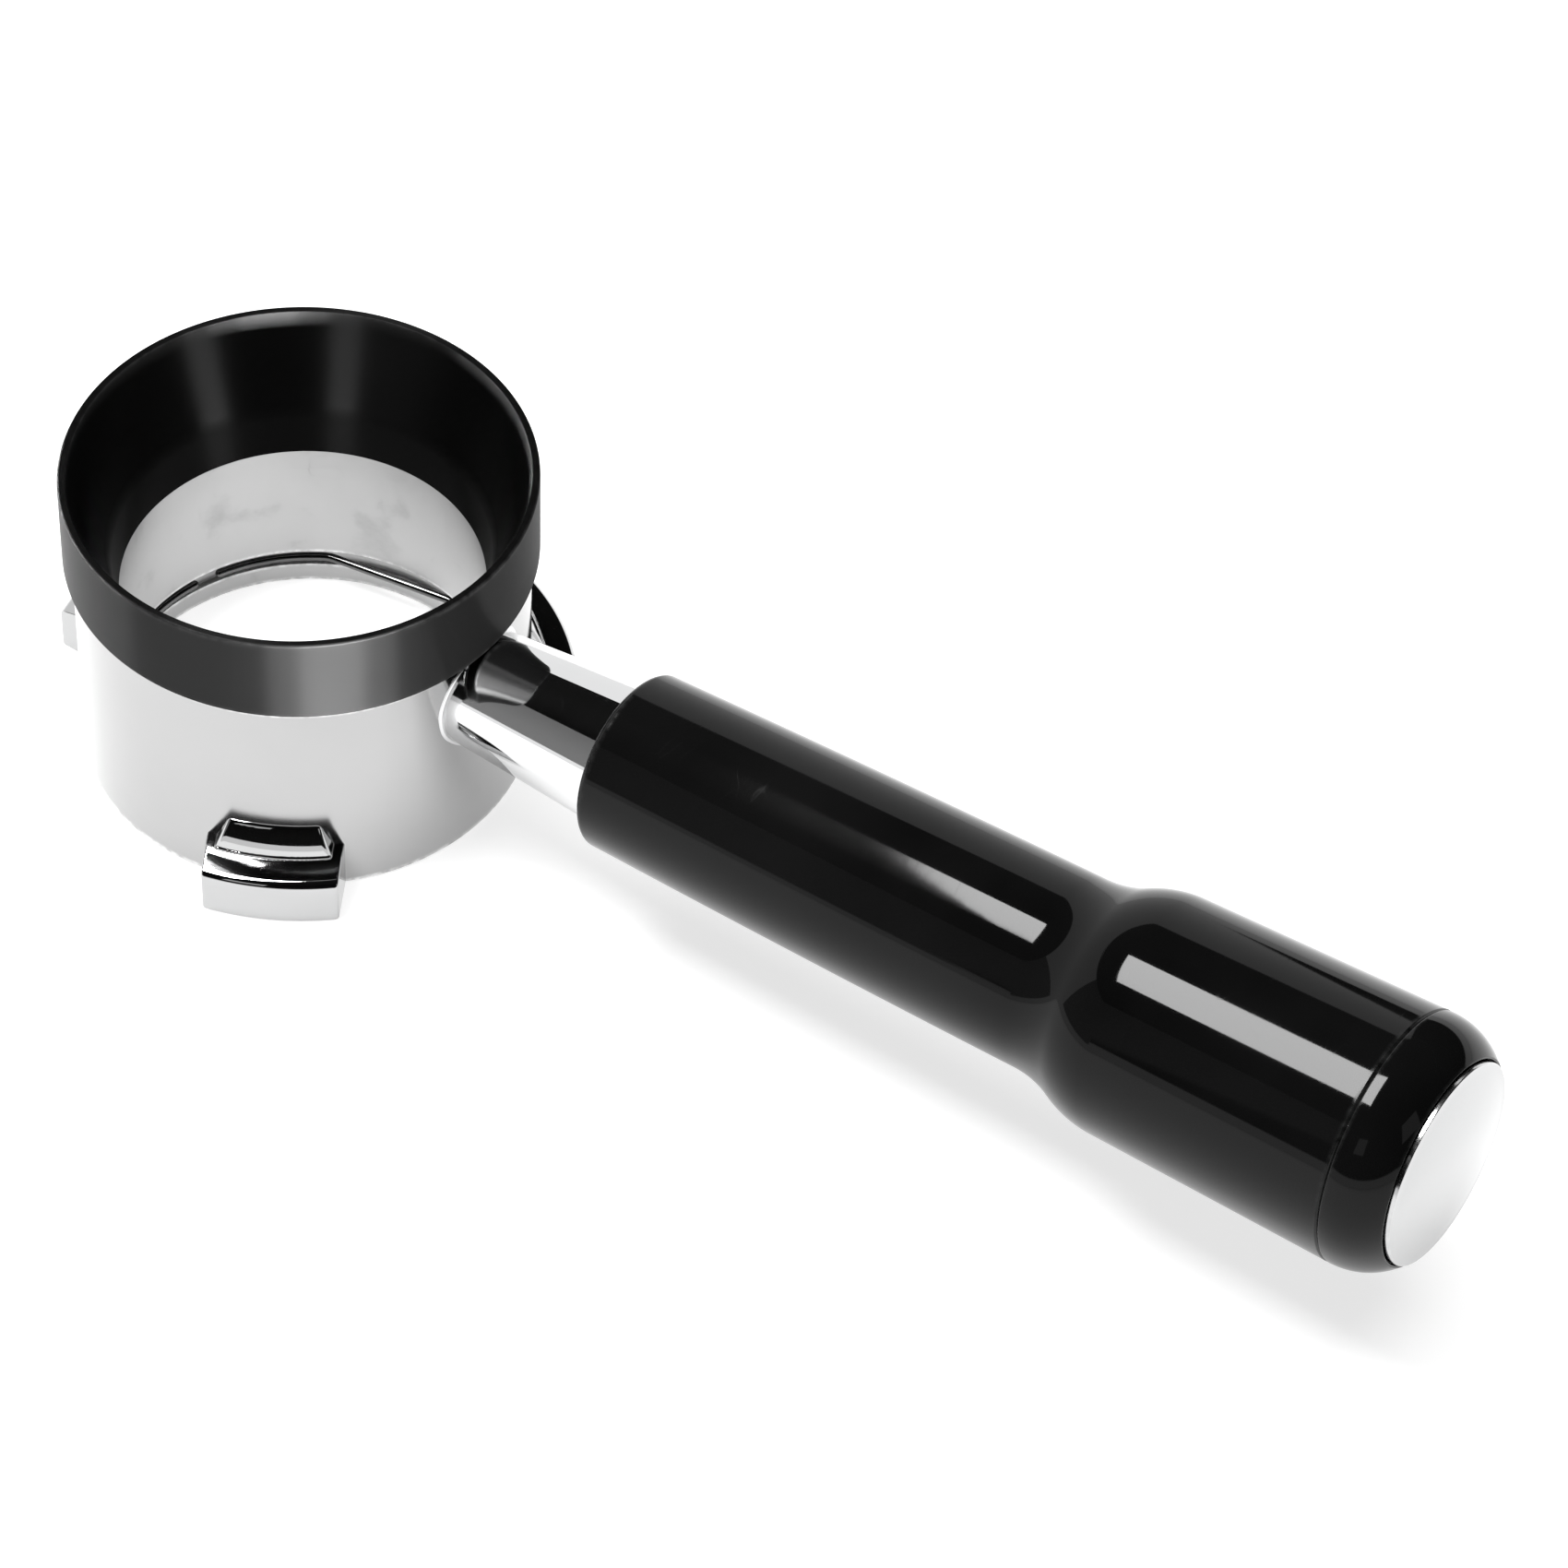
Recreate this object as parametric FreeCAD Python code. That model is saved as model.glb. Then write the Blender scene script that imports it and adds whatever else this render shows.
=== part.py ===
"""Bottomless portafilter of the 51 mm class, resting on its lug rim with its outlet ring on top.

Millimetres. +Z runs up the body's axis towards the outlet, +X along the handle, and the origin is
the centre of the lug rim's flat face. The handle's pieces are turned about their own axis, which
leaves the body's axis at HANDLE_HEIGHT and rises by HANDLE_TILT.
"""
import FreeCAD, Part
import math
import os

from FreeCAD import Placement, Rotation, Vector

# Body: a turned shell with a basket bore, a spring groove and a stepped seat for the outlet ring
BODY_RADIUS = 31.3
BODY_HEIGHT = 34.3
BORE_RADIUS = 26.25
RIM_BORE_RADIUS = 27.1
GROOVE_BOTTOM = 3.3
GROOVE_TOP = 6.55
GROOVE_RADIUS = 28.0
SEAT_HEIGHT = 27.3
SEAT_RADIUS = 28.7
EDGE_BREAK = 0.4

# Bayonet lugs, flush with the rim
LUG_AZIMUTHS = {"lug_front": -60.0, "lug_right": 60.0, "lug_left": 180.0}
LUG_RADIUS = 37.9
LUG_HALF_WIDTH = 9.4
LUG_FACE_HEIGHT = 6.2
LUG_RIDGE_RADIUS = 33.7
LUG_RIDGE_HEIGHT = 8.0
LUG_ROOT_HEIGHT = 12.2
LUG_TREAD_HALF_WIDTHS = (8.0, 6.2)
LUG_CORNER = 1.2

# Outlet ring, screwed into the seat; its thread is left as two plain cylinders
RING_RADIUS = 32.5
RING_BOTTOM = 34.9
RING_TOP = 48.6
RING_SLEEVE_RADIUS = 28.4
RING_SLEEVE_BOTTOM = 27.6
RING_LIP_RADIUS = 25.1
RING_BAND_RADIUS = 25.9
RING_BAND_TOP = 33.0
RING_CONE_RADIUS = 26.8
RING_CONE_BOTTOM = 36.0
RING_MOUTH_RADIUS = 31.4
RING_BEND_SHARE = 0.33
SEAL_INNER_RADIUS = 28.9
SEAL_OUTER_RADIUS = 30.9

# Wire spring that grips the basket
WIRE_RADIUS = 0.6
SPRING_RADIUS = 26.9
SPRING_HEIGHT = 4.95
SPRING_RUN_DISTANCE = 25.1
SPRING_BEND_RADIUS = 4.0
SPRING_RUN_AZIMUTHS = (100.0, -20.0, -140.0)
SPRING_ENDS = (155.6, -195.6)

# Handle axis
HANDLE_HEIGHT = 24.35
HANDLE_TILT = 3.25

# Arm, in distances along the handle's axis
ARM_ROOT_RADIUS = 8.4
ARM_ROOT = 31.0
ARM_END_RADIUS = 10.1
ARM_SHOULDER = 56.9
SPIGOT_RADIUS = 6.95
SPIGOT_END = 80.0
BRAZE_WIDTH = 0.5
BUSH_START = 62.0
BUSH_RADIUS = 5.5

# Grip
GRIP_START = 55.5
GRIP_FRONT_RADIUS = 12.6
GRIP_FRONT_ROUND = 1.6
GRIP_WAIST_START = 124.5
GRIP_WAIST_RADIUS = 13.62
GRIP_SWELL_START = 138.5
GRIP_SWELL_RADIUS = 16.9
GRIP_END = 174.4
GRIP_END_RADIUS = 17.7
GRIP_FACE_BORE = 10.45
GRIP_FACE_DEPTH = 2.0
GRIP_CHANNEL_RADIUS = 4.6
NUT_POCKET_START = 148.0
NUT_POCKET_RADIUS = 9.5
COLLAR_POCKET_START = 164.0
COLLAR_SPIGOT_RADIUS = 12.0
SEAM_BREAK = 0.25

# Key pin between the arm's shoulder and the grip
PIN_RADIUS = 1.2
PIN_OFFSET = 8.5
PIN_START = 53.0
PIN_END = 61.0

# Tie rod and what tightens it
ROD_RADIUS = 4.0
ROD_START = 64.0
ROD_END = 161.0
WASHER_RADIUS = 8.5
WASHER_THICKNESS = 1.6
LOCK_WASHER_RADIUS = 7.4
LOCK_WASHER_THICKNESS = 2.0
LOCK_WASHER_SLIT = 1.0
NUT_ACROSS_FLATS = 13.0
NUT_HEIGHT = 6.5

# End collar and chrome cap
COLLAR_END = 182.1
COLLAR_LIP_RADIUS = 14.65
COLLAR_BULGE = (179.3, 16.7)
CAP_POCKET_RADIUS = 14.35
CAP_POCKET_FLOOR = 180.4
CAP_RADIUS = 14.15
CAP_EDGE = 182.8
CAP_BEVEL = 0.35
CAP_CROWN = 183.7
CAP_STEM_RADIUS = 5.0
CAP_STEM_START = 172.0
CAP_STEM_BORE = 6.4
CAP_RING_START = 175.0
CAP_RING_END = 177.5

ORIGIN = Vector(0, 0, 0)
X_AXIS = Vector(1, 0, 0)
Z_AXIS = Vector(0, 0, 1)
ALONG_HANDLE = Placement(Vector(0, 0, HANDLE_HEIGHT), Rotation(Vector(0, 1, 0), -HANDLE_TILT))


def outline(stops):
    """Closed face in the XZ plane; a stop is (x, z), or (via_x, via_z, x, z) for an arc to (x, z)."""
    ends = [Vector(stop[-2], 0, stop[-1]) for stop in stops]
    edges = []
    for previous, stop, end in zip([ends[-1]] + ends[:-1], stops, ends):
        if len(stop) == 4:
            edges.append(Part.Arc(previous, Vector(stop[0], 0, stop[1]), end).toShape())
        else:
            edges.append(Part.LineSegment(previous, end).toShape())
    return Part.Face(Part.Wire(edges))


def turned(stops, axis):
    """Solid of revolution of an outline about the X or Z axis."""
    return outline(stops).revolve(ORIGIN, axis, 360)


def tube(outer, inner, start, end, axis):
    """Plain tube, or a rod where inner is 0, between two stations on an axis."""
    rod = Part.makeCylinder(outer, end - start, axis * start, axis)
    if inner == 0:
        return rod
    return rod.cut(Part.makeCylinder(inner, end - start, axis * start, axis))


def polar(radius, azimuth):
    """Point at a radius and an azimuth in degrees, in the XY plane."""
    angle = math.radians(azimuth)
    return Vector(radius * math.cos(angle), radius * math.sin(angle), 0)


def on_handle(shape):
    """Shape turned about X moved on to the handle's axis."""
    moved = shape.copy()
    moved.Placement = ALONG_HANDLE
    return moved


# ---- body ----

def body_shell():
    """Ring body with every edge broken, from the rim's land round by the outer wall to the bore."""
    return turned([
        (RIM_BORE_RADIUS + EDGE_BREAK, 0),
        (BODY_RADIUS - EDGE_BREAK, 0),
        (BODY_RADIUS, EDGE_BREAK),
        (BODY_RADIUS, BODY_HEIGHT - EDGE_BREAK),
        (BODY_RADIUS - EDGE_BREAK, BODY_HEIGHT),
        (SEAT_RADIUS + EDGE_BREAK, BODY_HEIGHT),
        (SEAT_RADIUS, BODY_HEIGHT - EDGE_BREAK),
        (SEAT_RADIUS, SEAT_HEIGHT),
        (BORE_RADIUS + EDGE_BREAK, SEAT_HEIGHT),
        (BORE_RADIUS, SEAT_HEIGHT - EDGE_BREAK),
        (BORE_RADIUS, GROOVE_TOP),
        (GROOVE_RADIUS, GROOVE_TOP),
        (GROOVE_RADIUS, GROOVE_BOTTOM),
        (RIM_BORE_RADIUS, GROOVE_BOTTOM),
        (RIM_BORE_RADIUS, EDGE_BREAK),
    ], Z_AXIS)


def lug(azimuth):
    """Lug with a curved front face, a sloping top and a narrower hollow tread above its ridge."""
    shoulder = LUG_RADIUS - EDGE_BREAK
    block = turned([
        (BODY_RADIUS, 0),
        (shoulder, 0),
        (LUG_RADIUS, EDGE_BREAK),
        (LUG_RADIUS, LUG_FACE_HEIGHT - EDGE_BREAK),
        (shoulder, LUG_FACE_HEIGHT + EDGE_BREAK),
        (LUG_RIDGE_RADIUS, LUG_RIDGE_HEIGHT),
        (BODY_RADIUS, LUG_RIDGE_HEIGHT),
    ], Z_AXIS)
    corner = LUG_RADIUS - LUG_CORNER
    plan = Part.makePolygon([
        Vector(0, -LUG_HALF_WIDTH, 0),
        Vector(corner, -LUG_HALF_WIDTH, 0),
        Vector(LUG_RADIUS, LUG_CORNER - LUG_HALF_WIDTH, 0),
        Vector(LUG_RADIUS, LUG_HALF_WIDTH - LUG_CORNER, 0),
        Vector(corner, LUG_HALF_WIDTH, 0),
        Vector(0, LUG_HALF_WIDTH, 0),
        Vector(0, -LUG_HALF_WIDTH, 0),
    ])
    block = block.common(Part.Face(plan).extrude(Z_AXIS * LUG_ROOT_HEIGHT))

    hollow = (LUG_RIDGE_RADIUS + BODY_RADIUS) / 2 - EDGE_BREAK
    hollow_height = (LUG_RIDGE_HEIGHT + LUG_ROOT_HEIGHT) / 2 - EDGE_BREAK
    tread = turned([
        (BODY_RADIUS, LUG_FACE_HEIGHT),
        (LUG_RIDGE_RADIUS, LUG_FACE_HEIGHT),
        (LUG_RIDGE_RADIUS, LUG_RIDGE_HEIGHT),
        (hollow, hollow_height, BODY_RADIUS, LUG_ROOT_HEIGHT),
    ], Z_AXIS)
    low_width, high_width = LUG_TREAD_HALF_WIDTHS
    front = Part.makePolygon([
        Vector(0, -low_width, LUG_FACE_HEIGHT),
        Vector(0, low_width, LUG_FACE_HEIGHT),
        Vector(0, low_width, LUG_RIDGE_HEIGHT),
        Vector(0, high_width, LUG_ROOT_HEIGHT),
        Vector(0, -high_width, LUG_ROOT_HEIGHT),
        Vector(0, -low_width, LUG_RIDGE_HEIGHT),
        Vector(0, -low_width, LUG_FACE_HEIGHT),
    ])
    tread = tread.common(Part.Face(front).extrude(X_AXIS * LUG_RADIUS))
    shape = block.fuse(tread).removeSplitter()
    shape.rotate(ORIGIN, Z_AXIS, azimuth)
    return shape


# ---- outlet ring, its seal, and the basket spring ----

def outlet_ring():
    """Flanged ring whose steep lower band bends softly into the cone of its mouth."""
    bend = (RING_BAND_RADIUS + RING_BEND_SHARE * (RING_CONE_RADIUS - RING_BAND_RADIUS),
            (RING_BAND_TOP + RING_CONE_BOTTOM) / 2)
    return turned([
        (RING_LIP_RADIUS, RING_SLEEVE_BOTTOM),
        (RING_SLEEVE_RADIUS - EDGE_BREAK, RING_SLEEVE_BOTTOM),
        (RING_SLEEVE_RADIUS, RING_SLEEVE_BOTTOM + EDGE_BREAK),
        (RING_SLEEVE_RADIUS, RING_BOTTOM),
        (RING_RADIUS - EDGE_BREAK, RING_BOTTOM),
        (RING_RADIUS, RING_BOTTOM + EDGE_BREAK),
        (RING_RADIUS, RING_TOP - EDGE_BREAK),
        (RING_RADIUS - EDGE_BREAK, RING_TOP),
        (RING_MOUTH_RADIUS, RING_TOP),
        (RING_CONE_RADIUS, RING_CONE_BOTTOM),
        (*bend, RING_BAND_RADIUS, RING_BAND_TOP),
    ], Z_AXIS)


def ring_seal():
    return tube(SEAL_OUTER_RADIUS, SEAL_INNER_RADIUS, BODY_HEIGHT, RING_BOTTOM, Z_AXIS)


def spring_corner(azimuth, side):
    """Bend between an arc of the spring and one end of a straight run: on the arc, mid, on the run."""
    normal = polar(1, azimuth)
    along = polar(1, azimuth + 90) * side
    offset = SPRING_RUN_DISTANCE - SPRING_BEND_RADIUS
    reach = math.sqrt((SPRING_RADIUS - SPRING_BEND_RADIUS) ** 2 - offset ** 2)
    centre = normal * offset + along * reach
    outward = Vector(centre).normalize()
    middle = Vector(normal + outward).normalize()
    return [centre + outward * SPRING_BEND_RADIUS,
            centre + middle * SPRING_BEND_RADIUS,
            centre + normal * SPRING_BEND_RADIUS]


def spring_arc(start, end):
    """Arc of the spring in its groove, clockwise from start to end, by way of a point between."""
    first = math.degrees(math.atan2(start.y, start.x))
    span = (first - math.degrees(math.atan2(end.y, end.x))) % 360
    return Part.Arc(start, polar(SPRING_RADIUS, first - span / 2), end).toShape()


def basket_spring():
    """Open ring of round wire: arcs that sit in the groove, and straight runs that grip a basket."""
    position = polar(SPRING_RADIUS, SPRING_ENDS[0])
    edges = []
    for azimuth in SPRING_RUN_AZIMUTHS:
        entry = spring_corner(azimuth, 1)
        leave = spring_corner(azimuth, -1)[::-1]
        edges.append(spring_arc(position, entry[0]))
        edges.append(Part.Arc(*entry).toShape())
        edges.append(Part.LineSegment(entry[2], leave[0]).toShape())
        edges.append(Part.Arc(*leave).toShape())
        position = leave[2]
    edges.append(spring_arc(position, polar(SPRING_RADIUS, SPRING_ENDS[1])))
    path = Part.Wire(edges)
    start = polar(SPRING_RADIUS, SPRING_ENDS[0])
    section = Part.Wire(Part.makeCircle(WIRE_RADIUS, start, polar(1, SPRING_ENDS[0] + 90)))
    shape = path.makePipe(Part.Face(section))
    shape.translate(Z_AXIS * SPRING_HEIGHT)
    return shape


# ---- arm ----

def key_pin():
    """Key pin before it is moved on to the handle, below the axis; its hole is the same cylinder."""
    return Part.makeCylinder(PIN_RADIUS, PIN_END - PIN_START, Vector(PIN_START, 0, -PIN_OFFSET), X_AXIS)


def neck_arm():
    arm = turned([
        (0, 0),
        (ARM_SHOULDER, 0),
        (ARM_SHOULDER, ARM_END_RADIUS),
        (ARM_ROOT, ARM_ROOT_RADIUS),
        (0, ARM_ROOT_RADIUS),
    ], X_AXIS)
    spigot = tube(SPIGOT_RADIUS, 0, ARM_SHOULDER, SPIGOT_END, X_AXIS)
    bore = tube(BUSH_RADIUS, 0, BUSH_START, SPIGOT_END, X_AXIS)
    shape = on_handle(arm.fuse(spigot).cut(bore).cut(key_pin()))
    return shape.cut(tube(BODY_RADIUS, 0, 0, RING_TOP, Z_AXIS))


def neck_braze(arm):
    """Thin fillet of braze round the arm, on the body's outer wall."""
    wall = tube(BODY_RADIUS + BRAZE_WIDTH, BODY_RADIUS, 0, BODY_HEIGHT, Z_AXIS)
    sheath = on_handle(tube(ARM_ROOT_RADIUS + BRAZE_WIDTH, 0, 0, ARM_SHOULDER, X_AXIS))
    return wall.common(sheath).cut(arm)


def arm_bush():
    return on_handle(tube(BUSH_RADIUS, ROD_RADIUS, BUSH_START, SPIGOT_END, X_AXIS))


def anti_turn_pin():
    return on_handle(key_pin())


# ---- grip and what holds it on ----

def waist_arcs():
    """Two equal arcs that take the grip from its waist up to its swell."""
    rise = GRIP_SWELL_RADIUS - GRIP_WAIST_RADIUS
    run = GRIP_SWELL_START - GRIP_WAIST_START
    bend = math.atan2(rise, run)
    radius = run / (2 * math.sin(2 * bend))
    across = radius * math.sin(bend)
    up = radius * (1 - math.cos(bend))
    middle = (GRIP_WAIST_START + run / 2, GRIP_WAIST_RADIUS + rise / 2)
    return [
        (GRIP_WAIST_START + across, GRIP_WAIST_RADIUS + up, *middle),
        (GRIP_SWELL_START - across, GRIP_SWELL_RADIUS - up, GRIP_SWELL_START, GRIP_SWELL_RADIUS),
    ]


def grip():
    face_floor = GRIP_START + GRIP_FACE_DEPTH
    lean = GRIP_FRONT_ROUND * (1 - math.sqrt(0.5))
    shape = turned([
        (GRIP_START, GRIP_FACE_BORE),
        (GRIP_START, GRIP_FRONT_RADIUS - GRIP_FRONT_ROUND),
        (GRIP_START + lean, GRIP_FRONT_RADIUS - lean, GRIP_START + GRIP_FRONT_ROUND, GRIP_FRONT_RADIUS),
        (GRIP_WAIST_START, GRIP_WAIST_RADIUS),
        *waist_arcs(),
        (GRIP_END - SEAM_BREAK, GRIP_END_RADIUS),
        (GRIP_END, GRIP_END_RADIUS - SEAM_BREAK),
        (GRIP_END, COLLAR_SPIGOT_RADIUS),
        (COLLAR_POCKET_START, COLLAR_SPIGOT_RADIUS),
        (COLLAR_POCKET_START, NUT_POCKET_RADIUS),
        (NUT_POCKET_START, NUT_POCKET_RADIUS),
        (NUT_POCKET_START, GRIP_CHANNEL_RADIUS),
        (SPIGOT_END, GRIP_CHANNEL_RADIUS),
        (SPIGOT_END, SPIGOT_RADIUS),
        (face_floor, SPIGOT_RADIUS),
        (face_floor, GRIP_FACE_BORE),
    ], X_AXIS)
    return on_handle(shape.cut(key_pin()))


def grip_gasket():
    shape = tube(ARM_END_RADIUS, SPIGOT_RADIUS, ARM_SHOULDER, GRIP_START + GRIP_FACE_DEPTH, X_AXIS)
    return on_handle(shape.cut(key_pin()))


def tie_rod():
    return on_handle(turned([
        (ROD_START, 0),
        (ROD_START, ROD_RADIUS - EDGE_BREAK),
        (ROD_START + EDGE_BREAK, ROD_RADIUS),
        (ROD_END - EDGE_BREAK, ROD_RADIUS),
        (ROD_END, ROD_RADIUS - EDGE_BREAK),
        (ROD_END, 0),
    ], X_AXIS))


WASHER_END = NUT_POCKET_START + WASHER_THICKNESS
NUT_START = WASHER_END + LOCK_WASHER_THICKNESS


def tie_washer():
    return on_handle(tube(WASHER_RADIUS, ROD_RADIUS, NUT_POCKET_START, WASHER_END, X_AXIS))


def lock_washer():
    ring = tube(LOCK_WASHER_RADIUS, ROD_RADIUS, WASHER_END, NUT_START, X_AXIS)
    slit = Part.makeBox(LOCK_WASHER_THICKNESS, LOCK_WASHER_SLIT, LOCK_WASHER_RADIUS,
                        Vector(WASHER_END, -LOCK_WASHER_SLIT / 2, 0))
    return on_handle(ring.cut(slit))


def tie_nut():
    corner = NUT_ACROSS_FLATS / 2 / math.cos(math.radians(30))
    corners = [Vector(NUT_START, polar(corner, step * 60).x, polar(corner, step * 60).y)
               for step in range(7)]
    prism = Part.Face(Part.makePolygon(corners)).extrude(X_AXIS * NUT_HEIGHT)
    dome = turned([
        (NUT_START, 0),
        (NUT_START, corner),
        (NUT_START + NUT_HEIGHT - EDGE_BREAK, corner),
        (NUT_START + NUT_HEIGHT, NUT_ACROSS_FLATS / 2),
        (NUT_START + NUT_HEIGHT, 0),
    ], X_AXIS)
    bore = tube(ROD_RADIUS, 0, NUT_START, NUT_START + NUT_HEIGHT, X_AXIS)
    return on_handle(prism.common(dome).cut(bore))


# ---- end of the handle ----

def end_collar():
    return on_handle(turned([
        (COLLAR_POCKET_START, COLLAR_SPIGOT_RADIUS),
        (GRIP_END, COLLAR_SPIGOT_RADIUS),
        (GRIP_END, GRIP_END_RADIUS - SEAM_BREAK),
        (GRIP_END + SEAM_BREAK, GRIP_END_RADIUS),
        (*COLLAR_BULGE, COLLAR_END, COLLAR_LIP_RADIUS),
        (COLLAR_END, CAP_POCKET_RADIUS),
        (CAP_POCKET_FLOOR, CAP_POCKET_RADIUS),
        (CAP_POCKET_FLOOR, CAP_STEM_BORE),
        (CAP_STEM_START, CAP_STEM_BORE),
        (CAP_STEM_START, NUT_POCKET_RADIUS),
        (COLLAR_POCKET_START, NUT_POCKET_RADIUS),
    ], X_AXIS))


def end_cap():
    """Disc with a bevelled edge, a stem, and a face that is a shallow piece of a sphere."""
    crown_radius = CAP_RADIUS - CAP_BEVEL
    crown = CAP_CROWN - CAP_EDGE
    sphere = (crown_radius ** 2 + crown ** 2) / (2 * crown)
    half_angle = math.asin(crown_radius / sphere) / 2
    via = (CAP_CROWN - sphere * (1 - math.cos(half_angle)), sphere * math.sin(half_angle))
    return on_handle(turned([
        (CAP_STEM_START, 0),
        (CAP_STEM_START, CAP_STEM_RADIUS),
        (CAP_POCKET_FLOOR, CAP_STEM_RADIUS),
        (CAP_POCKET_FLOOR, CAP_RADIUS),
        (CAP_EDGE - CAP_BEVEL, CAP_RADIUS),
        (CAP_EDGE, crown_radius),
        (*via, CAP_CROWN, 0),
    ], X_AXIS))


def cap_ring():
    return on_handle(tube(CAP_STEM_BORE, CAP_STEM_RADIUS, CAP_RING_START, CAP_RING_END, X_AXIS))


def build():
    """Every sub-part by its node name."""
    nodes = {"body_shell": body_shell()}
    for name, azimuth in LUG_AZIMUTHS.items():
        nodes[name] = lug(azimuth)
    nodes["outlet_ring"] = outlet_ring()
    nodes["ring_seal"] = ring_seal()
    nodes["basket_spring"] = basket_spring()
    nodes["neck_arm"] = neck_arm()
    nodes["neck_braze"] = neck_braze(nodes["neck_arm"])
    nodes["arm_bush"] = arm_bush()
    nodes["anti_turn_pin"] = anti_turn_pin()
    nodes["grip"] = grip()
    nodes["grip_gasket"] = grip_gasket()
    nodes["tie_rod"] = tie_rod()
    nodes["tie_washer"] = tie_washer()
    nodes["lock_washer"] = lock_washer()
    nodes["tie_nut"] = tie_nut()
    nodes["end_collar"] = end_collar()
    nodes["end_cap"] = end_cap()
    nodes["cap_ring"] = cap_ring()
    return nodes


os.makedirs("parts", exist_ok=True)
for name, shape in build().items():
    solids = shape.Solids
    print(name, "solids", len(solids), "valid", shape.isValid(), "volume", round(shape.Volume, 1))
    if len(solids) == 1:
        shape = solids[0]
    shape.exportStep("parts/" + name + ".step")
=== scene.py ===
import math

import bmesh
import bpy
import numpy as np
from mathutils import Matrix, Quaternion, Vector


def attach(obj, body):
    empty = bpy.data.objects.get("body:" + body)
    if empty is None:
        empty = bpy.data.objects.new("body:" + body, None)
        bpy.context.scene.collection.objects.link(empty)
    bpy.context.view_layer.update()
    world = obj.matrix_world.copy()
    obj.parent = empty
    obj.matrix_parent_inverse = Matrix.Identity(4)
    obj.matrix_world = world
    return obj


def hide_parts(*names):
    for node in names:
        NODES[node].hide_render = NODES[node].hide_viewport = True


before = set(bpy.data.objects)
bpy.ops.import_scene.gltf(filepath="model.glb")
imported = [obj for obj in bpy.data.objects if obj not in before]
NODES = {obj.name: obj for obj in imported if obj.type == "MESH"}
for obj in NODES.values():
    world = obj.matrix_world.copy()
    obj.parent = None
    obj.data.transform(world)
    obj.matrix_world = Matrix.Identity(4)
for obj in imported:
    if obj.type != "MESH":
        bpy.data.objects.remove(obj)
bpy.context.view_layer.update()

MM = 0.001

# Camera: about the body's axis, looking down past the ring at the handle
CAMERA_PLACE = Vector((0.3944, -0.4767, 0.6636))
CAMERA_TARGET = Vector((0.0738, 0.0098, 0.026))
CAMERA_ROLL = math.radians(2.43)
CAMERA_LENS = 148.2
CAMERA_SENSOR = 36.0

# Studio, in metres and degrees; azimuth 0 is +X
SOFTBOX_PLACE = (-0.545, -0.36, 2.05)
SOFTBOX_SIZE = (0.79, 1.0)
SOFTBOX_POWER = 92.0
FILL_PLACE = (0, 0, 3.3)
FILL_SIZE = (3.0, 3.0)
FILL_POWER = 150.0
# Upright boxes round the body, all at one distance: name, azimuth, width, lowest and highest
# elevation as seen from the body, brightness
SIDE_BOXES = (
    ("box_right", -8.0, 20.0, 24.0, 40.0, 0.7),
    ("box_left", -77.0, 16.0, 28.0, 41.0, 0.7),
)
# The same, but these light only the black ring, to shape its turned surface
RING_BOXES = (
    ("ring_right", -6.0, 14.0, 20.0, 40.0, 85.0),
    ("ring_left", -75.0, 14.0, 24.0, 40.0, 90.0),
    ("ring_low", -40.0, 52.0, 0.5, 3.6, 2000.0),
    ("ring_low_core", -40.0, 26.0, 0.5, 3.6, 3000.0),
    ("ring_behind", -160.0, 70.0, 0.5, 3.6, 620.0),
)
BOX_DISTANCE = 1.7
FLAG_RADIUS = 4.0
FLAG_TOP = 3.4
FLOOR_HALF = 14.0
FLOOR_LEVEL = -5e-5
WORLD_STRENGTH = 1.25

# Body, in millimetres over the lug rim: bore, spring groove, and the threaded seat for the ring
BODY_RADIUS = 31.3
BODY_HEIGHT = 34.3
RIM_BORE_RADIUS = 27.1
BORE_RADIUS = 26.25
GROOVE_RADIUS = 28.0
GROOVE_FOOT, GROOVE_TOP = 3.3, 6.55
SEAT_RADIUS = 28.7
SEAT_FLOOR = 27.3
# Outlet ring, which screws into the seat by its sleeve
RING_RADIUS = 32.5
RING_SHOULDER = 34.9
RING_TOP = 48.6
SLEEVE_RADIUS = 28.4
SLEEVE_FOOT = 27.6
THREAD_PITCH = 1.5
THREAD_DEPTH = 0.5

# Handle, in millimetres along its own axis from the body's axis; pairs are (radius, along)
HANDLE_HEIGHT = 24.35
HANDLE_TILT = math.radians(3.25)
ALONG_HANDLE = (Matrix.Translation((0, 0, HANDLE_HEIGHT * MM))
                @ Matrix.Rotation(-HANDLE_TILT, 4, "Y"))
GRIP_START = 55.5
BARREL_START, BARREL_MIDDLE, BARREL_END = (12.64, 58.0), (13.27, 91.25), (13.62, 124.5)
SWELL_START = (16.9, 138.5)
SEAM = 174.4
SOCKET_RADIUS, SOCKET_FLOOR = 12.0, 164.0
NUT_BORE_RADIUS, NUT_BORE_FLOOR = 9.5, 148.0
ROD_RADIUS = 4.0
ROD_START, ROD_END = 64.0, 161.0
ROD_THREAD_DEPTH = 0.4

# Lugs, in millimetres: distances from the body's axis, heights, half widths, and where x + y
# clips the outer corners of a lug along +X
LUG_ROOT, LUG_STEP, LUG_FACE = 31.15, 33.7, 37.9
LUG_SHELF, TREAD_FOOT, TREAD_TOP = 8.0, 6.2, 12.2
LUG_HALF_WIDTH, TREAD_HALF_WIDTH = 9.4, 8.0
LUG_CLIP = 46.1
LUG_AZIMUTHS = (("lug_front", -60), ("lug_right", 60), ("lug_left", 180))

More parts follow.
